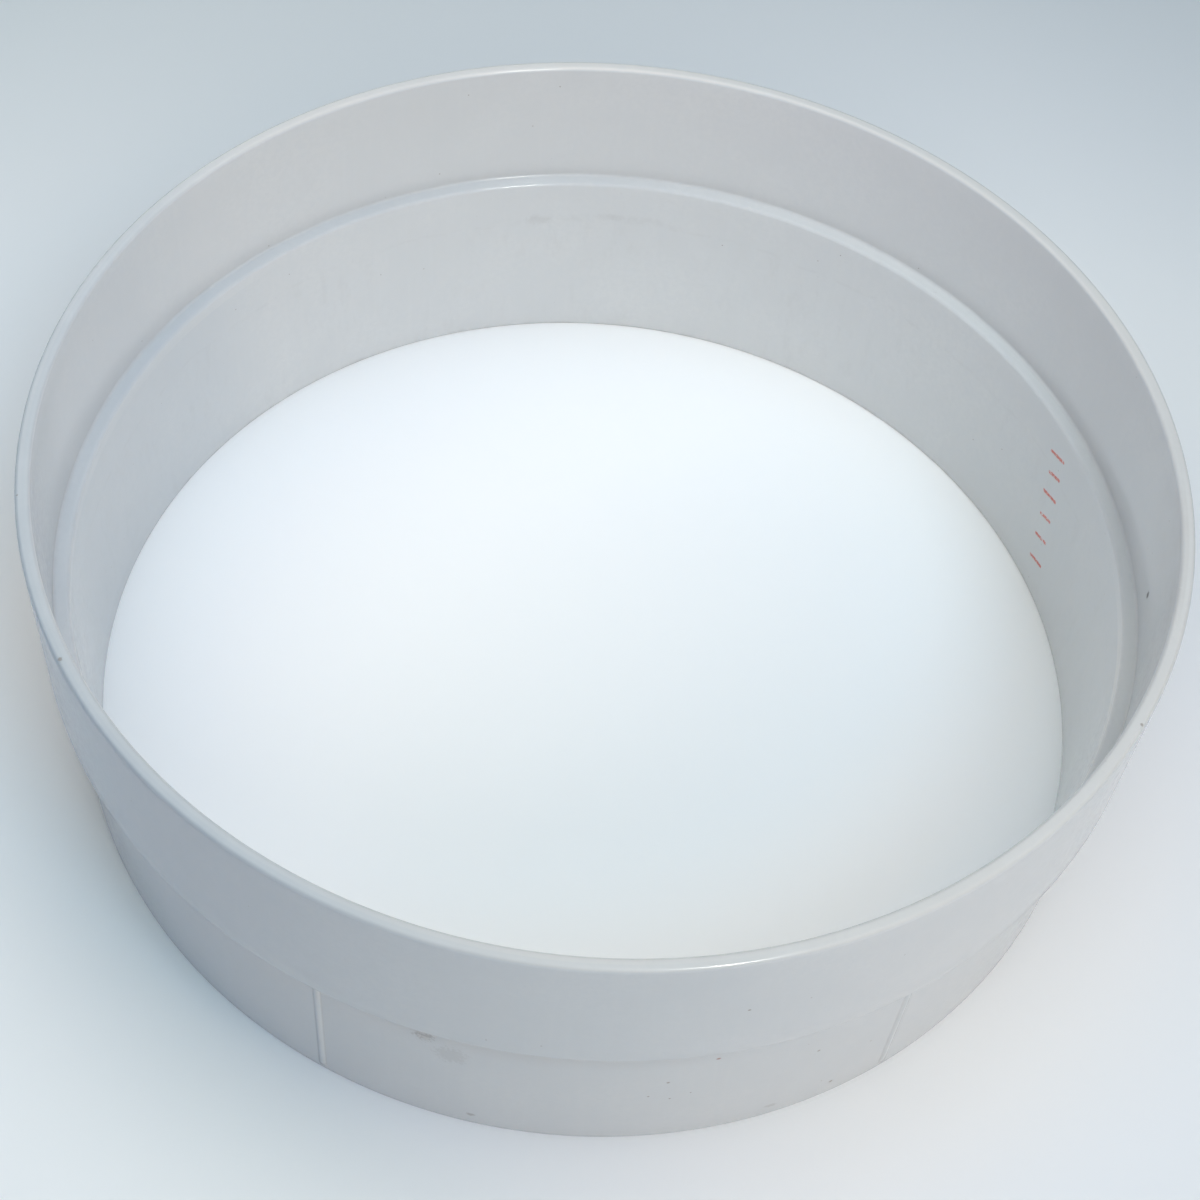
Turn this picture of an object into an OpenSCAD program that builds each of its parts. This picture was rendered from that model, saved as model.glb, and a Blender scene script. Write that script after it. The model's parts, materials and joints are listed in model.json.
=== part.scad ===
// Stepped socket-and-spigot ring for plumbing: a wide socket wall above, a shoulder that
// steps in, and a narrower spigot wall below with guide ribs on its outside.
// Millimetres. Origin on the ring's axis at the spigot's foot, +Z up along the axis.

/* [Ring] */
// Height of the whole ring
ring_h = 136; // [132:0.5:150]
// Thickness of the socket wall
socket_wall_t = 5; // [4.5:0.1:6]

/* [Socket] */
// Outside diameter of the socket wall
socket_od = 400; // [380:1:430]
// Height of the stop ledge above the spigot's foot
ledge_z = 80.4; // [70:0.2:84]
// Radius of the rounding along both edges of the rim
rim_round = 1.5; // [0.8:0.1:2]
// Radius of the rounding along the outer edge of the socket wall's foot
heel_round = 0.8; // [0.3:0.1:1.2]

/* [Shoulder] */
// Thickness of the shoulder between its two faces
shoulder_t = 5.2; // [5:0.2:7]
// Radius of the rounding along the ledge's inner lip
lip_round = 1.4; // [0.6:0.1:1.8]
// Radius of the cove where the ledge meets the socket wall
cove_r = 1.2; // [0.6:0.1:1.4]
// How far the shoulder is let into the socket wall
socket_lap = 2.5; // [1.5:0.1:3]

/* [Spigot] */
// Step in radius from the socket's outside to the spigot's outside
step_in = 6.6; // [6:0.1:7]
// Width of the stop ledge, from the socket's bore to the lip
ledge_w = 5.6; // [5:0.1:6]
// How much narrower the spigot's inside is at its foot than at the lip, on the radius
draft_in = 2.2; // [0.5:0.1:2.6]
// Radius of the rounding along both edges of the foot
foot_round = 0.9; // [0.4:0.1:1]
// Width of the tongue on the spigot's head that keys into the shoulder
tongue_w = 1.6; // [1.2:0.1:1.8]
// Height of that tongue
tongue_h = 2.4; // [1.5:0.1:3]

/* [Guide ribs] */
// How many guide ribs stand around the spigot
rib_count = 6; // [3:3:12]
// Angle of the first rib from +X
rib_start = 7; // [1:2:59]
// Width of a rib
rib_w = 2.6; // [2:0.1:3.4]
// How far a rib stands out from the spigot
rib_h = 0.6; // [0.5:0.05:0.85]
// How deep a rib's root sits in its groove
rib_root = 1; // [0.6:0.1:1.2]
// Height over which a rib tapers in at the foot
rib_lead = 4; // [2:0.5:8]

/* [Hidden] */

$fn = 180;
arc_steps = 8;

socket_r = socket_od / 2;
bore_r = socket_r - socket_wall_t;
lap_r = bore_r + socket_lap;
lip_r = bore_r - ledge_w;
foot_r = lip_r - draft_in;
spigot_r = socket_r - step_in;
under_z = ledge_z - shoulder_t;
// Inside radius of the spigot where its wall meets the shoulder
neck_r = foot_r + draft_in * under_z / ledge_z;
tongue_r = (neck_r + spigot_r - tongue_w) / 2;
// The rib starts above the rounding of the foot
rib_z = foot_round + 0.4;
// Radius of the round crest that is rib_w wide where it leaves the wall
crest_r = (pow(rib_w / 2, 2) + pow(rib_h, 2)) / (2 * rib_h);
// Overshoot of cutting shapes past the faces they cut
over = 2;

function rib_name(i) = str("guide_rib_", i);

// Points along an arc of radius r about c, from angle a to angle b
function arc(c, r, a, b) = [
    for (k = [0:arc_steps])
        let (t = a + (b - a) * k / arc_steps)
        c + r * [cos(t), sin(t)]
];

// The outline of the socket wall in section, with its rim rounded on both edges, its foot
// rounded outside, and the inner half of its foot cut away for the shoulder
module socket_section() {
    polygon(concat(
        [[lap_r, under_z]],
        arc([socket_r - heel_round, under_z + heel_round], heel_round, -90, 0),
        arc([socket_r - rim_round, ring_h - rim_round], rim_round, 0, 90),
        arc([bore_r + rim_round, ring_h - rim_round], rim_round, 90, 180),
        [[bore_r, ledge_z], [lap_r, ledge_z]]
    ));
}

// The outline of the shoulder in section: a flat ledge with a rounded lip, a cove against
// the socket wall, and a groove below for the spigot's tongue
module shoulder_section() {
    difference() {
        polygon(concat(
            [[neck_r, under_z], [lap_r, under_z], [lap_r, ledge_z], [bore_r, ledge_z]],
            arc([bore_r - cove_r, ledge_z + cove_r], cove_r, 0, -90),
            arc([lip_r + lip_round, ledge_z - lip_round], lip_round, 90, 180)
        ));
        tongue_section();
    }
}

module tongue_section() {
    translate([tongue_r, under_z - over])
        square([tongue_w, tongue_h + over]);
}

// The outline of the spigot wall in section, drafted inside, with a rounded foot and a
// tongue on its head
module spigot_section() {
    polygon(concat(
        arc([foot_r + foot_round, foot_round], foot_round, 180, 270),
        arc([spigot_r - foot_round, foot_round], foot_round, 270, 360),
        [[spigot_r, under_z], [neck_r, under_z]]
    ));
    tongue_section();
}

// The plan of one rib on the +X side: a straight root and a round crest
module rib_plan() {
    intersection() {
        translate([spigot_r - rib_root, -rib_w / 2])
            square([rib_root + rib_h, rib_w]);
        union() {
            translate([spigot_r - rib_root, -rib_w / 2])
                square([rib_root + rib_h - crest_r, rib_w]);
            translate([spigot_r + rib_h - crest_r, 0])
                circle(r = crest_r);
        }
    }
}

// The space that tapers the ribs in towards the foot
module rib_envelope() {
    rotate_extrude()
        polygon([
            [spigot_r - rib_root - over, rib_z - over],
            [spigot_r, rib_z - over],
            [spigot_r, rib_z],
            [spigot_r + rib_h, rib_z + rib_lead],
            [spigot_r + rib_h + over, rib_z + rib_lead],
            [spigot_r + rib_h + over, under_z + over],
            [spigot_r - rib_root - over, under_z + over]
        ]);
}

// Everything that a rib's root displaces from the spigot wall
module rib_groove() {
    translate([spigot_r - rib_root, -rib_w / 2, rib_z])
        cube([rib_root + over, rib_w, under_z - rib_z]);
}

module at_rib(i) {
    rotate([0, 0, rib_start + (i - 1) * 360 / rib_count])
        children();
}

module socket_wall() {
    color([0.84, 0.86, 0.88])
        rotate_extrude()
            socket_section();
}

module stop_shoulder() {
    color([0.80, 0.83, 0.86])
        rotate_extrude()
            shoulder_section();
}

module spigot_wall() {
    color([0.82, 0.85, 0.87])
        difference() {
            rotate_extrude()
                spigot_section();
            for (i = [1:rib_count])
                at_rib(i)
                    rib_groove();
        }
}

module guide_rib(i) {
    color([0.83, 0.85, 0.88])
        intersection() {
            at_rib(i)
                translate([0, 0, rib_z])
                    linear_extrude(under_z - rib_z)
                        rib_plan();
            rib_envelope();
        }
}

socket_wall();
stop_shoulder();
spigot_wall();
for (i = [1:rib_count])
    guide_rib(i);
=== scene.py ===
# A stepped socket-and-spigot ring in light grey moulded plastic, standing on a pale floor.
# Metres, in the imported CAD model's frame: +Z up along the ring's axis, foot plane at z = 0.
# Angles round the axis are in degrees, from +X towards +Y; the camera stands at -90.
import json
import math

import bmesh
import bpy
from mathutils import Matrix, Vector


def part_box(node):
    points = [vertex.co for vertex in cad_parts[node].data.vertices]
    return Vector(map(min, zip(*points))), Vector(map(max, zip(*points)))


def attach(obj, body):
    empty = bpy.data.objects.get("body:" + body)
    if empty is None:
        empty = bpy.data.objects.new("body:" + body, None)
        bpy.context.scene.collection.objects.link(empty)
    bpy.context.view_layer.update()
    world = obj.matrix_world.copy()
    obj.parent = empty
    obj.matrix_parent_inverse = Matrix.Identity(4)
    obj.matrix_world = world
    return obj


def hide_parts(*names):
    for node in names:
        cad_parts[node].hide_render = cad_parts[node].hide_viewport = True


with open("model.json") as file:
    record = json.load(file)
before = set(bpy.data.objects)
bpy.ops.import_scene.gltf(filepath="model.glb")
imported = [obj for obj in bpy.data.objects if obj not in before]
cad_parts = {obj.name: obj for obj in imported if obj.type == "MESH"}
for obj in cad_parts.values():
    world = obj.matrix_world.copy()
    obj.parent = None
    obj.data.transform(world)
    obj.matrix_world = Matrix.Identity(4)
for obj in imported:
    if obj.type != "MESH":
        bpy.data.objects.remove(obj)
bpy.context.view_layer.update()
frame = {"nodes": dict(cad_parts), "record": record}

MM = 0.001

# ---------------------------------------------------------------- sizes read from the frame
mounts = {m["name"]: m for m in frame["record"]["mounts"]}
socket_lo, socket_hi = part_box("socket_wall")
SOCKET_R = socket_hi.x
RIM_Z = socket_hi.z
UNDER_Z = socket_lo.z
BORE_R = mounts["socket_bore"]["dims"]["r_mm"] * MM
SPIGOT_R = mounts["spigot_outside"]["dims"]["r_mm"] * MM
LEDGE_Z = mounts["stop_ledge"]["pos_m"][2]
RIBS = sorted(n for n in frame["nodes"] if n.startswith("guide_rib_"))

# ---------------------------------------------------------------- sizes as in the CAD
LEDGE_W = 5.6 * MM
DRAFT_IN = 2.2 * MM
LIP_R = BORE_R - LEDGE_W
FOOT_R = LIP_R - DRAFT_IN
RIM_ROUND = 1.5 * MM
LIP_ROUND = 1.4 * MM
COVE_R = 1.2 * MM
FOOT_ROUND = 0.9 * MM
HEEL_ROUND = 0.8 * MM
SOCKET_LAP = 2.5 * MM
LAP_R = BORE_R + SOCKET_LAP
RIB_W = 2.6 * MM
RIB_H = 0.6 * MM
RIB_LEAD = 4 * MM

# ---------------------------------------------------------------- sizes of the finer skins
TURNS = 384                              # steps round each lathed ring
ARC_STEPS = 8                            # steps along each rounding of a profile
HEEL_STEPS = 4
SOCKET_STEPS = 8                         # steps along each straight wall of a profile
SPIGOT_STEPS = 10
RING_SHARP = 35                          # edges that turn by more degrees than this stay crisp
RIB_SHARP = 50
RIB_FILLET = 0.30 * MM                   # softens a rib's sides into the wall
RIB_HALF = RIB_W / 2 + 3 * RIB_FILLET    # half the width of a rib with its fillets
RIB_FLANK = 0.92 * RIB_W / 2             # where the crest's arc turns into a straight flank
RIB_SINK = 0.02 * MM                     # how far a rib's edges sink into the wall
RIB_ROOT = 0.08 * MM                     # how far a rib's flat back lies inside the wall
RIB_ACROSS = 14                          # steps from a rib's middle line to either edge
RIB_LEAD_STEPS = 10
RIB_STEPS = 16                           # steps up a rib above its lead-in


def inner_r(z):
    """Inside radius of the drafted wall below the lip, at height z."""
    return FOOT_R + DRAFT_IN * z / LEDGE_Z


# ---------------------------------------------------------------- camera
CAM_DISTANCE = 0.8323
CAM_ELEVATION = math.radians(55.04)
CAM_AIM = Vector((0.0014, 0.0, 0.0455))
CAM_ROLL = math.radians(6.4)
CAM_LENS = 63.41
CAM_SENSOR = 36.0

cam_data = bpy.data.cameras.new("camera")
cam_data.lens = CAM_LENS
cam_data.sensor_width = CAM_SENSOR
cam = bpy.data.objects.new("camera", cam_data)
cam.location = (0.0, -CAM_DISTANCE * math.cos(CAM_ELEVATION), CAM_DISTANCE * math.sin(CAM_ELEVATION))
cam.rotation_mode = "QUATERNION"
look = (CAM_AIM - cam.location).to_track_quat("-Z", "Y")
cam.rotation_quaternion = look @ Matrix.Rotation(CAM_ROLL, 3, "Z").to_quaternion()
bpy.context.scene.collection.objects.link(cam)
bpy.context.scene.camera = cam


# ---------------------------------------------------------------- meshes
def arc(cx, cz, r, a, b, steps=ARC_STEPS):
    """Points (radius, height) on an arc about (cx, cz), from angle a to b in degrees."""
    out = []
    for k in range(steps + 1):
        t = math.radians(a + (b - a) * k / steps)
        out.append((cx + r * math.cos(t), cz + r * math.sin(t)))
    return out


def straight(a, b, steps):
    """Points between a and b, without either end."""
    return [
        (a[0] + (b[0] - a[0]) * k / steps, a[1] + (b[1] - a[1]) * k / steps)
        for k in range(1, steps)
    ]


def link(name, bm):
    """Turns a bmesh into an object in the scene."""
    mesh = bpy.data.meshes.new(name)
    bm.to_mesh(mesh)
    bm.free()
    obj = bpy.data.objects.new(name, mesh)
    bpy.context.scene.collection.objects.link(obj)
    return obj


def shade_smooth(bm, sharp):
    """Smooths every face, and keeps the edges that turn by more than sharp degrees crisp."""
    bmesh.ops.recalc_face_normals(bm, faces=bm.faces)
    for f in bm.faces:
        f.smooth = True
    for e in bm.edges:
        e.smooth = e.calc_face_angle(0.0) < math.radians(sharp)


def lathe(name, profile):
    """A closed ring turned from a closed profile of (radius, height) points."""
    bm = bmesh.new()
    rows = []
    for k in range(TURNS):
        t = 2 * math.pi * k / TURNS
        rows.append([bm.verts.new((r * math.cos(t), r * math.sin(t), z)) for r, z in profile])
    count = len(profile)
    for k in range(TURNS):
        here = rows[k]
        there = rows[(k + 1) % TURNS]
        for j in range(count):
            nxt = (j + 1) % count
            bm.faces.new((here[j], there[j], there[nxt], here[nxt]))
    shade_smooth(bm, RING_SHARP)
    return link(name, bm)


def socket_profile():
    top = RIM_Z - RIM_ROUND
    outer = straight((SOCKET_R, UNDER_Z + HEEL_ROUND), (SOCKET_R, top), SOCKET_STEPS)
    inner = straight((BORE_R, top), (BORE_R, LEDGE_Z), SOCKET_STEPS)
    return (
        [(LAP_R, UNDER_Z)]
        + arc(SOCKET_R - HEEL_ROUND, UNDER_Z + HEEL_ROUND, HEEL_ROUND, -90, 0, HEEL_STEPS)
        + outer
        + arc(SOCKET_R - RIM_ROUND, top, RIM_ROUND, 0, 90)
        + arc(BORE_R + RIM_ROUND, top, RIM_ROUND, 90, 180)
        + inner
        + [(BORE_R, LEDGE_Z), (LAP_R, LEDGE_Z)]
    )


def shoulder_profile():
    return (
        [(inner_r(UNDER_Z), UNDER_Z), (LAP_R, UNDER_Z), (LAP_R, LEDGE_Z), (BORE_R, LEDGE_Z)]
        + arc(BORE_R - COVE_R, LEDGE_Z + COVE_R, COVE_R, 0, -90)
        + arc(LIP_R + LIP_ROUND, LEDGE_Z - LIP_ROUND, LIP_ROUND, 90, 180)
    )


def spigot_profile():
    foot = inner_r(FOOT_ROUND)
    outer = straight((SPIGOT_R, FOOT_ROUND), (SPIGOT_R, UNDER_Z), SPIGOT_STEPS)
    inner = straight((inner_r(UNDER_Z), UNDER_Z), (foot, FOOT_ROUND), SPIGOT_STEPS)
    return (
        arc(foot + FOOT_ROUND, FOOT_ROUND, FOOT_ROUND, 180, 270)
        + arc(SPIGOT_R - FOOT_ROUND, FOOT_ROUND, FOOT_ROUND, 270, 360)
        + outer
        + [(SPIGOT_R, UNDER_Z), (inner_r(UNDER_Z), UNDER_Z)]
        + inner
    )


# ---------------------------------------------------------------- ribs
def rib_shape(y):
    """A round crest and straight flanks, softened where they run out; y is to the side."""
    crest_r = ((RIB_W / 2) ** 2 + RIB_H**2) / (2 * RIB_H)
    flank_rise = math.sqrt(crest_r**2 - RIB_FLANK**2)
    side = abs(y)
    if side < RIB_FLANK:
        height = math.sqrt(crest_r**2 - side * side) - (crest_r - RIB_H)
    else:
        height = flank_rise - (crest_r - RIB_H) - (side - RIB_FLANK) * RIB_FLANK / flank_rise
    return (height + math.sqrt(height * height + RIB_FILLET**2)) / 2


def rib_height(y):
    """How far the rib's skin stands off the wall, y to the side of its middle line."""
    edge = rib_shape(RIB_HALF)
    return RIB_H * (rib_shape(y) - edge) / (rib_shape(0.0) - edge)


def rib_section(share):
    """A rib's closed outline (outwards, sideways), its height scaled by share."""
    across = [
        RIB_HALF * math.sin(math.pi / 2 * k / RIB_ACROSS)
        for k in range(-RIB_ACROSS, RIB_ACROSS + 1)
    ]
    outline = [
        (math.sqrt(SPIGOT_R**2 - y * y) - RIB_SINK + rib_height(y) * share, y)
        for y in across
    ]
    back = SPIGOT_R - RIB_ROOT
    return outline + [(back, across[-1]), (back, across[0])]


def rib_skin(name, node):
    """A round-crested rib with filleted sides, tapering into the wall at its lower end."""
    lo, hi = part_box(node)
    angle = math.atan2(lo.y + hi.y, lo.x + hi.x)
    lead_top = lo.z + RIB_LEAD
    heights = [lo.z + RIB_LEAD * k / RIB_LEAD_STEPS for k in range(RIB_LEAD_STEPS + 1)]
    heights += [lead_top + (hi.z - lead_top) * k / RIB_STEPS for k in range(1, RIB_STEPS + 1)]
    bm = bmesh.new()
    rows = []
    for z in heights:
        t = min(1.0, (z - lo.z) / RIB_LEAD)
        row = []
        for x, y in rib_section(t * t * (3 - 2 * t)):
            turned_x = x * math.cos(angle) - y * math.sin(angle)
            turned_y = x * math.sin(angle) + y * math.cos(angle)
            row.append(bm.verts.new((turned_x, turned_y, z)))
        rows.append(row)
    count = len(rows[0])
    for a, b in zip(rows, rows[1:]):
        for j in range(count):
            nxt = (j + 1) % count
            bm.faces.new((a[j], a[nxt], b[nxt], b[j]))
    bm.faces.new(list(reversed(rows[0])))
    bm.faces.new(rows[-1])
    shade_smooth(bm, RIB_SHARP)
    return link(name, bm)


socket_skin = lathe("socket_wall_skin", socket_profile())
shoulder_skin = lathe("stop_shoulder_skin", shoulder_profile())
spigot_skin = lathe("spigot_wall_skin", spigot_profile())
rib_skins = [(rib_skin(n + "_skin", n), n) for n in RIBS]


# ---------------------------------------------------------------- materials
GREY = (0.632, 0.636, 0.632, 1)     # the plastic itself
PALE = (0.70, 0.71, 0.71, 1)        # rubbed plastic; also painted sheen on the ribs' crests
BROWN = (0.175, 0.125, 0.088, 1)    # specks and smears
RUST = (0.24, 0.075, 0.05, 1)
DARK = (0.035, 0.03, 0.028, 1)
# the next colour is dust, and also painted shade under the shoulder, in the ledge's corner and along
# the ribs' roots
DUST_AND_SHADE = (0.32, 0.29, 0.275, 1)
CRAYON = (0.60, 0.085, 0.035, 1)
WARM = (0.70, 0.62, 0.52, 1)        # shifts the plastic's colour a little; the next is painted light, the last painted cool shade
PAINTED_LIGHT = (0.86, 0.80, 0.72, 1)
PAINTED_COOL_SHADE = (0.10, 0.25, 0.40, 1)
CLOUD_PALE = tuple(c * 1.014 for c in GREY[:3]) + (1,)
CLOUD_DEEP = tuple(c * k for c, k in zip(GREY[:3], (0.974, 0.978, 0.985))) + (1,)
IOR = 1.49


class Graph:
    """Short calls for building one material's node tree."""

    def __init__(self, name):
        self.mat = bpy.data.materials.new(name)
        self.mat.use_nodes = True
        self.tree = self.mat.node_tree
        self.bsdf = self.tree.nodes["Principled BSDF"]

    def node(self, kind, **settings):
        n = self.tree.nodes.new(kind)
        for key, value in settings.items():
            setattr(n, key, value)
        return n

    def feed(self, socket, value):
        if isinstance(value, bpy.types.NodeSocket):
            self.tree.links.new(value, socket)
        else:
            socket.default_value = value

    def math(self, op, *values, clamp=False):
        n = self.node("ShaderNodeMath", operation=op, use_clamp=clamp)
        for socket, value in zip(n.inputs, values):
            self.feed(socket, value)
        return n.outputs[0]

    def product(self, first, *others):
        for other in others:
            first = self.math("MULTIPLY", first, other)
        return first

    def length(self, a, b):
        """The length of the flat vector (a, b)."""
        return self.math("SQRT", self.math("ADD", self.product(a, a), self.product(b, b)))

    def step(self, x, lo, hi, a=0.0, b=1.0):
        """Runs smoothly from a to b as x goes from lo to hi."""
        n = self.node("ShaderNodeMapRange", interpolation_type="SMOOTHSTEP")
        for socket, value in zip(n.inputs, (x, lo, hi, a, b)):
            self.feed(socket, value)
        return n.outputs[0]

    def scaled(self, vector, x, y, z):
        n = self.node("ShaderNodeVectorMath", operation="MULTIPLY")
        self.feed(n.inputs[0], vector)
        n.inputs[1].default_value = (x, y, z)
        return n.outputs[0]

    def noise(self, vector, scale, detail=3.0, rough=0.55, twist=0.0):
        n = self.node("ShaderNodeTexNoise")
        self.feed(n.inputs["Vector"], vector)
        n.inputs["Scale"].default_value = scale
        n.inputs["Detail"].default_value = detail
        n.inputs["Roughness"].default_value = rough
        n.inputs["Distortion"].default_value = twist
        return n.outputs["Fac"]

    def cells(self, vector, size):
        """Random cells of about a size: the distance to each one's centre, and its colour."""
        n = self.node("ShaderNodeTexVoronoi")
        self.feed(n.inputs["Vector"], vector)
        n.inputs["Scale"].default_value = 1 / size
        return n.outputs["Distance"], n.outputs["Color"]

    def mix(self, share, below, above):
        n = self.node("ShaderNodeMix", data_type="RGBA", blend_type="MIX")
        self.feed(n.inputs["Factor"], share)
        self.feed(n.inputs["A"], below)
        self.feed(n.inputs["B"], above)
        return n.outputs["Result"]

    def bump(self, height, distance, under=None):
        """A bump of a noise's height times distance, laid over the bump below it."""
        n = self.node("ShaderNodeBump")
        n.inputs["Strength"].default_value = 1.0
        n.inputs["Distance"].default_value = distance
        self.feed(n.inputs["Height"], height)
        if under is not None:
            self.feed(n.inputs["Normal"], under)
        return n.outputs["Normal"]


class Plastic(Graph):
    """Light grey moulded plastic, a little handled: the base that all the slots share.

    Marks are placed by an angle in degrees and by heights and sizes in millimetres.
    """

    def __init__(self, name):
        super().__init__(name)
        self.point = self.node("ShaderNodeTexCoord").outputs["Object"]
        split = self.node("ShaderNodeSeparateXYZ")
        self.feed(split.inputs[0], self.point)
        self.x, self.y, self.z = split.outputs
        self.run = self.product(self.math("ARCTAN2", self.y, self.x), SPIGOT_R)
        self.r = self.length(self.x, self.y)
        self.part_sides(LIP_R + 1 * MM, LIP_R + 3.5 * MM)
        self.ragged = self.math("SUBTRACT", self.noise(self.point, 900, 3, 0.6), 0.5)
        self.cloud = self.noise(self.point, 26, 4, 0.55)
        self.drag = self.noise(self.scaled(self.point, 1, 1, 0.06), 240, 3, 0.6)
        fine = self.noise(self.point, 420, 3, 0.6)
        swirl = self.noise(self.point, 9, 2, 0.5, 0.6)
        colour = self.mix(self.step(self.cloud, 0.30, 0.70), CLOUD_DEEP, CLOUD_PALE)
        colour = self.mix(self.step(fine, 0.35, 0.65, 0.0, 0.75), colour, CLOUD_DEEP)
        colour = self.mix(self.step(self.drag, 0.50, 0.75, 0.0, 0.35), colour, CLOUD_PALE)
        self.colour = self.mix(self.step(swirl, 0.50, 0.72, 0.0, 0.20), colour, CLOUD_DEEP)
        self.roughness = self.math("ADD", self.step(self.cloud, 0.3, 0.7, 0.15, 0.20),
                                   self.step(fine, 0.35, 0.65, -0.02, 0.03))

    def part_sides(self, lo, hi):
        """Makes the masks of the wall's outside and inside, which part between two radii."""
        self.outside = self.step(self.r, lo, hi)
        self.inside = self.math("SUBTRACT", 1.0, self.outside)

    def patches(self, scale, lo, hi, detail=3, rough=0.6):
        """A mask of ragged patches: a noise cut between two levels."""
        return self.step(self.noise(self.point, scale, detail, rough), lo, hi)

    def stain(self, mask, colour, strength, rougher=0.2):
        """Lays a thin stain over the colour where the mask is, and roughens it there."""
        share = self.product(mask, strength)
        self.colour = self.mix(share, self.colour, colour)
        self.roughness = self.math("ADD", self.roughness, self.product(share, rougher))

    def cast(self, mask, colour, strength):
        """Shifts the plastic's colour where the mask is, without roughening it: used for tints and
        for painted light and shade.
        """
        self.stain(mask, colour, strength, 0.0)

    def spot(self, degrees, height, wide, tall, ragged=1.2):
        """A ragged spot right through the wall, centred at an angle and height."""
        along = self.math("SUBTRACT", self.run, math.radians(degrees) * SPIGOT_R)
        up = self.math("SUBTRACT", self.z, height * MM)
        along = self.math("DIVIDE", along, wide * MM / 2)
        up = self.math("DIVIDE", up, tall * MM / 2)
        away = self.math("ADD", self.length(along, up), self.product(self.ragged, ragged))
        return self.step(away, 1.15, 0.55)

    def outside_spot(self, *place):
        return self.product(self.spot(*place), self.outside)

    def inside_spot(self, *place):
        return self.product(self.spot(*place), self.inside)

    def rim_spot(self, degrees, out, size):
        """A ragged spot on the rim, at an angle and a distance from the axis."""
        way = math.radians(degrees)
        dx = self.math("SUBTRACT", self.x, out * MM * math.cos(way))
        dy = self.math("SUBTRACT", self.y, out * MM * math.sin(way))
        away = self.math("ADD", self.length(dx, dy), self.product(self.ragged, size * MM * 0.8))
        near = self.step(away, size * MM * 0.55, size * MM * 0.25)
        return self.product(near, self.step(self.z, RIM_Z - 3 * MM, RIM_Z - 2 * MM))

    def band(self, height, thick, wave, mask):
        """A thin line round the wall at a height, wandering and broken, within a mask."""
        wander = self.noise(self.scaled(self.point, 1, 1, 0.2), 40, 2, 0.5)
        wander = self.product(self.math("SUBTRACT", wander, 0.5), wave * MM)
        off = self.math("ADD", self.math("SUBTRACT", self.z, height * MM), wander)
        line = self.step(self.math("ABSOLUTE", off), thick * MM, thick * MM * 0.25)
        return self.product(line, self.patches(120, 0.42, 0.62), mask)

    def round_about(self, degrees, width):
        """1 near an angle and 0 further than width degrees from it."""
        off = self.math("SUBTRACT", self.run, math.radians(degrees) * SPIGOT_R)
        span = math.radians(width) * SPIGOT_R
        return self.step(self.math("ABSOLUTE", off), span, span * 0.45)

    def facing(self, degrees, lo, hi):
        """1 on the side that faces an angle, 0 away from it; lo and hi are shares of the radius."""
        way = math.radians(degrees)
        along = self.math("ADD", self.product(self.x, math.cos(way)),
                          self.product(self.y, math.sin(way)))
        return self.step(along, lo * SOCKET_R, hi * SOCKET_R)

    def stroke(self, a, b, width):
        """A ragged line from a to b, each (degrees, height)."""
        ax = math.radians(a[0]) * SPIGOT_R
        az = a[1] * MM
        vx = math.radians(b[0]) * SPIGOT_R - ax
        vz = b[1] * MM - az
        long2 = vx * vx + vz * vz
        px = self.math("SUBTRACT", self.run, ax)
        pz = self.math("SUBTRACT", self.z, az)
        along = self.math("ADD", self.product(px, vx / long2), self.product(pz, vz / long2),
                          clamp=True)
        ex = self.math("SUBTRACT", px, self.product(along, vx))
        ez = self.math("SUBTRACT", pz, self.product(along, vz))
        away = self.math("ADD", self.length(ex, ez), self.product(self.ragged, width * MM * 0.7))
        return self.step(away, width * MM * 0.62, width * MM * 0.30)

    def specks(self, spacing, size):
        """Small specks scattered over the wall, in about half of the cells."""
        far, colour = self.cells(self.point, spacing * MM)
        pick = self.node("ShaderNodeSeparateColor")
        self.feed(pick.inputs[0], colour)
        dots = self.step(far, size / spacing, size / spacing * 0.5)
        return self.product(dots, self.step(pick.outputs[0], 0.45, 0.5))

    def done(self, grain=1.0):
        """Feeds the shader, adds the surface's bumps and returns the material."""
        self.feed(self.bsdf.inputs["Base Color"], self.colour)
        self.feed(self.bsdf.inputs["Roughness"], self.roughness)
        self.bsdf.inputs["Specular IOR Level"].default_value = 0.5
        self.bsdf.inputs["IOR"].default_value = IOR
        wave = self.bump(self.noise(self.point, 15, 1, 0.5), 0.25 * MM)
        drawn = self.bump(self.drag, 0.012 * MM * grain, wave)
        peel = self.bump(self.noise(self.point, 700, 2, 0.5), 0.010 * MM * grain, drawn)
        fine = self.bump(self.noise(self.point, 2600, 2, 0.5), 0.003 * MM * grain, peel)
        self.feed(self.bsdf.inputs["Normal"], fine)
        return self.mat


def add_rim_wear_and_shade(g):
    """Tints, painted light and shade, rubs and nicks along the rim."""
    rim = g.step(g.z, RIM_Z - 0.9 * MM, RIM_Z - 0.3 * MM)
    # A little warm all round, painted light at the back right, painted cool shade at the left
    g.cast(rim, WARM, 0.25)
    g.cast(g.product(rim, g.facing(62, 0.50, 0.85)), PAINTED_LIGHT, 0.28)
    g.cast(g.product(rim, g.facing(-160, 0.30, 0.85)), PAINTED_COOL_SHADE, 0.22)
    # Paler rubbed stretches, then small dull flecks, then three brown nicks
    g.stain(g.product(rim, g.patches(45, 0.40, 0.70)), PALE, 0.12)
    g.stain(g.product(rim, g.patches(260, 0.72, 0.78, 2, 0.5)), DUST_AND_SHADE, 0.12)
    for degrees, out, size in ((-28, 198.9, 1.3), (-165.1, 199.0, 0.9), (-145.2, 198.7, 1.6)):
        g.stain(g.rim_spot(degrees, out, size), BROWN, 0.6)


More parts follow.
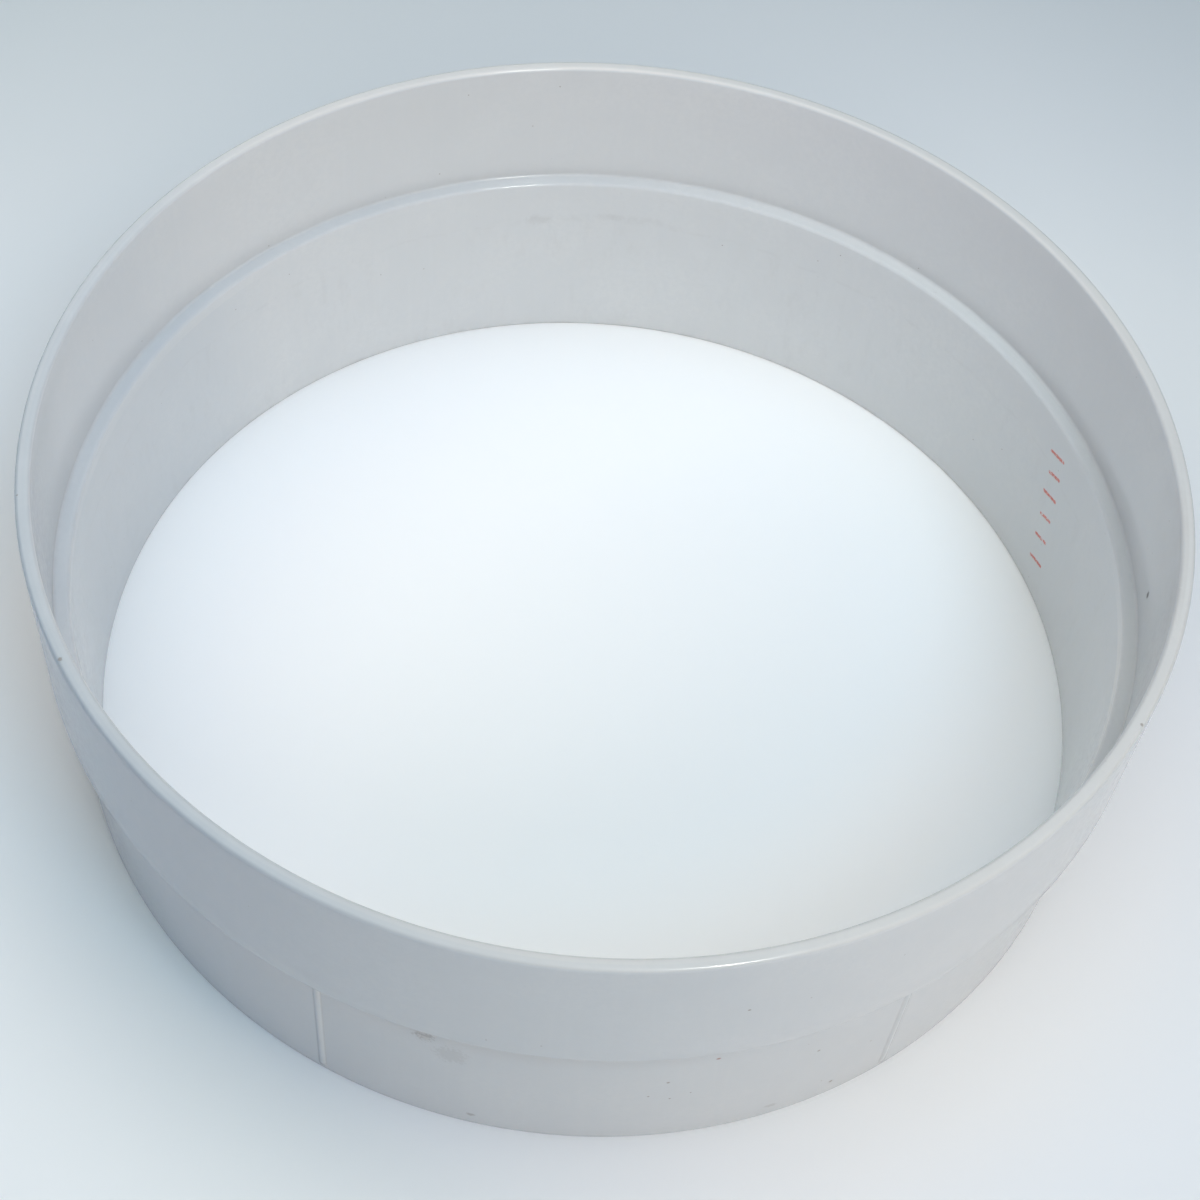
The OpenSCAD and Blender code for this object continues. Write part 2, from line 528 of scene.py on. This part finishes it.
def socket_plastic():
    g = Plastic("socket_plastic")
    g.part_sides(BORE_R + 2.2 * MM, BORE_R + 2.8 * MM)
    g.stain(g.specks(9, 0.35), BROWN, 0.75)
    g.stain(g.outside_spot(-72.8, 105, 1.1, 1.1), BROWN, 0.9)
    # The dark dot on the inside at the right, with a fainter one and a dusty haze above it
    g.stain(g.inside_spot(-2.3, 94.3, 2.4, 4.0, 0.9), DARK, 1.0)
    g.stain(g.inside_spot(0.8, 124, 1.4, 1.2), DUST_AND_SHADE, 0.5)
    haze = g.product(g.round_about(-5, 12), g.step(g.z, 100 * MM, 124 * MM))
    g.stain(g.product(haze, g.step(g.cloud, 0.40, 0.62), g.inside), DUST_AND_SHADE, 0.16)
    # Painted cool shade: the left side a little duller and cooler
    g.cast(g.product(g.facing(-120, 0.45, 0.85), g.outside), PAINTED_COOL_SHADE, 0.08)
    g.cast(g.product(g.facing(178, 0.82, 0.95), g.inside), PAINTED_COOL_SHADE, 0.08)
    add_rim_wear_and_shade(g)
    # Dust just above the heel on the outside
    low = g.step(g.z, UNDER_Z + 4 * MM, UNDER_Z + 0.3 * MM)
    g.stain(g.product(low, g.outside, g.patches(70, 0.45, 0.7)), DUST_AND_SHADE, 0.12)
    return g.done()


def shoulder_plastic():
    g = Plastic("shoulder_plastic")
    # Dust and painted shade in the corner of the ledge, and dust in flecks all over
    corner = g.product(g.step(g.r, BORE_R - 1.6 * MM, BORE_R - 0.2 * MM),
                       g.step(g.z, LEDGE_Z - 2 * MM, LEDGE_Z - 1 * MM))
    g.stain(g.product(corner, g.patches(90, 0.38, 0.68)), DUST_AND_SHADE, 0.07)
    g.stain(g.patches(240, 0.72, 0.80, 2, 0.5), DUST_AND_SHADE, 0.14)
    # Painted light at the front right, where the ledge lies in shadow, and painted cool shade at the
    # left
    g.cast(g.round_about(-25, 32), PAINTED_LIGHT, 0.35)
    g.cast(g.facing(175, 0.80, 0.93), PAINTED_COOL_SHADE, 0.08)
    return g.done(0.7)


def add_outside_marks_and_shade(g):
    """Specks and smears on the outside of the spigot, with painted shade under the shoulder and
    painted cool shade on the left, inside and out.
    """
    for degrees, height, size in (
        (-78, 43, 1.2), (-62.6, 42, 1.2), (-79.7, 33, 0.9), (-77.5, 30, 0.9),
        (-75.5, 33, 0.8), (-59.6, 9, 1.6), (-56, 30, 0.9),
    ):
        g.stain(g.outside_spot(degrees, height, size, size), BROWN, 0.85)
    g.stain(g.outside_spot(-73.5, 57, 1.7, 1.5), RUST, 0.85)
    # Painted cool shade on the left side, inside and out
    g.cast(g.product(g.facing(170, 0.80, 0.92), g.inside), PAINTED_COOL_SHADE, 0.11)
    g.cast(g.product(g.facing(-120, 0.60, 0.85), g.outside), PAINTED_COOL_SHADE, 0.03)
    # Painted shade under the shoulder at the front, then smears under the shoulder and near the foot
    under = g.product(g.round_about(-88, 22), g.outside, g.step(g.z, 52 * MM, 62 * MM))
    g.stain(under, DUST_AND_SHADE, 0.14)
    for degrees, height, wide, tall, ragged, strength in (
        (-101.8, 59, 7, 7.5, 2.2, 0.34), (-99.0, 50, 12, 11, 2.2, 0.13),
        (-96.9, 7, 3, 2.2, 1.5, 0.40), (-66.3, 7, 5, 2.5, 1.5, 0.20),
        (-45, 62, 22, 5, 1.8, 0.10),
    ):
        g.stain(g.outside_spot(degrees, height, wide, tall, ragged), BROWN, strength)


def add_inside_wear(g):
    """A wavering line of grime below the ledge and worn streaks lower down."""
    back = g.product(g.inside, g.round_about(96, 15))
    g.stain(g.band(62.5, 2.6, 6, back), DUST_AND_SHADE, 0.10)
    g.stain(g.inside_spot(103, 61, 11, 5, 1.8), DUST_AND_SHADE, 0.10)
    g.stain(g.inside_spot(94, 63, 9, 4, 1.8), DUST_AND_SHADE, 0.08)
    g.stain(g.band(60, 1.2, 9, g.inside), DUST_AND_SHADE, 0.05)
    worn = g.step(g.noise(g.scaled(g.point, 1, 1, 0.35), 170, 4, 0.65), 0.50, 0.68)
    low = g.step(g.z, 66 * MM, 56 * MM)
    g.stain(g.product(worn, g.patches(20, 0.40, 0.60, 2, 0.5), low, g.inside), DUST_AND_SHADE, 0.05)


def add_crayon(g):
    """Plain crayon dashes in a slanting row on the inside."""
    wax = g.product(g.patches(650, 0.30, 0.52, 3, 0.65), g.inside)
    for degrees, height, lean in (
        (24.0, 68, 1.0), (23.3, 59, 0.8), (22.7, 49, 1.0), (22.0, 38.5, 0.8),
        (21.3, 28, 0.9), (20.6, 16.5, 1.0),
    ):
        a = (degrees + 1.3 * lean, height - 1.3)
        b = (degrees - 1.3 * lean, height + 1.1)
        g.stain(g.product(g.stroke(a, b, 1.5), wax), CRAYON, 0.85, 0.1)


def spigot_plastic():
    g = Plastic("spigot_plastic")
    g.stain(g.specks(8, 0.34), BROWN, 0.75)
    add_outside_marks_and_shade(g)
    add_inside_wear(g)
    foot = g.step(g.z, 2.5 * MM, 0.4 * MM)
    g.stain(g.product(foot, g.patches(110, 0.35, 0.65)), DUST_AND_SHADE, 0.25)
    add_crayon(g)
    return g.done()


def rib_plastic():
    g = Plastic("rib_plastic")
    # Dust and painted shade along the root, dust at the lower end, then a paler crest of painted
    # sheen
    g.stain(g.step(g.r, SPIGOT_R + 0.26 * MM, SPIGOT_R + 0.06 * MM), DUST_AND_SHADE, 0.20)
    tip = g.step(g.z, 12 * MM, 3 * MM)
    g.stain(g.product(tip, g.patches(300, 0.35, 0.6)), DUST_AND_SHADE, 0.22)
    crest = g.step(g.r, SPIGOT_R + RIB_H * 0.75, SPIGOT_R + RIB_H)
    g.stain(g.product(crest, g.patches(200, 0.45, 0.65)), PALE, 0.2, 0.1)
    return g.done(0.8)


finishes = {
    "socket_plastic": socket_plastic(),
    "shoulder_plastic": shoulder_plastic(),
    "spigot_plastic": spigot_plastic(),
    "rib_plastic": rib_plastic(),
}
skins = [
    (socket_skin, "socket_wall", "socket_plastic"),
    (shoulder_skin, "stop_shoulder", "shoulder_plastic"),
    (spigot_skin, "spigot_wall", "spigot_plastic"),
] + [(skin, n, "rib_plastic") for skin, n in rib_skins]
for obj, node, slot in skins:
    obj.data.materials.append(finishes[slot])
    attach(obj, "root")
    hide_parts(node)
    hidden = frame["nodes"][node]
    hidden.data.materials.clear()
    hidden.data.materials.append(finishes[slot])

# ---------------------------------------------------------------- floor
FLOOR_SIZE = 3.0
FLOOR_COLOUR = (0.95, 0.93, 0.91, 1)
FLOOR_ROUGHNESS = 0.9

bm = bmesh.new()
bmesh.ops.create_grid(bm, x_segments=2, y_segments=2, size=FLOOR_SIZE)
floor = link("floor", bm)
floor_mat = bpy.data.materials.new("floor")
floor_mat.use_nodes = True
floor_bsdf = floor_mat.node_tree.nodes["Principled BSDF"]
floor_bsdf.inputs["Base Color"].default_value = FLOOR_COLOUR
floor_bsdf.inputs["Roughness"].default_value = FLOOR_ROUGHNESS
floor.data.materials.append(floor_mat)

# ---------------------------------------------------------------- light
scene = bpy.context.scene
scene.view_settings.view_transform = "Standard"


def area_light(name, azimuth, elevation, distance, size, power, colour, glint=False):
    """A disc light aimed at the origin. A glint only makes highlights; the others make none."""
    data = bpy.data.lights.new(name, "AREA")
    data.shape = "DISK"
    data.size = size
    data.energy = power
    data.color = colour
    obj = bpy.data.objects.new(name, data)
    a, e = math.radians(azimuth), math.radians(elevation)
    way = Vector((math.cos(e) * math.cos(a), math.cos(e) * math.sin(a), math.sin(e)))
    obj.location = way * distance
    obj.rotation_mode = "QUATERNION"
    obj.rotation_quaternion = way.to_track_quat("Z", "Y")
    obj.visible_glossy = glint
    obj.visible_diffuse = not glint
    scene.collection.objects.link(obj)


area_light("key", -57, 57, 2.6, 0.8, 10.6, (0.20, 0.64, 1.0))
area_light("front", -72, 35, 2.2, 1.0, 13.2, (1.0, 0.98, 0.97))
area_light("front_right", -40, 25, 1.5, 1.0, 3.82, (1.0, 0.86, 0.79))
area_light("top_front", -40, 70, 0.8, 0.5, 2.06, (1.0, 0.83, 0.68))
area_light("top", 0, 90, 1.5, 1.2, 4.51, (0.31, 0.73, 1.0))
area_light("near_top", 60, 68, 0.8, 0.5, 0.489, (0.1, 0.4, 1.0))
area_light("back", 95, 30, 1.5, 1.2, 0.881, (1.0, 0.45, 0.1))
area_light("back_left", 165, 45, 1.5, 1.2, 1.23, (0.32, 1.0, 0.05))
area_light("near_left", 150, 60, 0.6, 0.4, 1.14, (1.0, 0.89, 0.84))
area_light("left", 185, 25, 1.5, 1.2, 2.06, (0.0, 0.02, 1.0))
area_light("glint", -58.5, 57.5, 1.3, 0.09, 4.2, (1.0, 1.0, 0.92), True)

# The world is only a pale backdrop: the lamps do all the lighting
world = bpy.data.worlds.new("world")
world.use_nodes = True
backdrop = world.node_tree.nodes["Background"]
backdrop.inputs["Color"].default_value = (0.93, 0.95, 0.97, 1)
backdrop.inputs["Strength"].default_value = 0.8
world.cycles_visibility.diffuse = False
world.cycles_visibility.glossy = False
scene.world = world
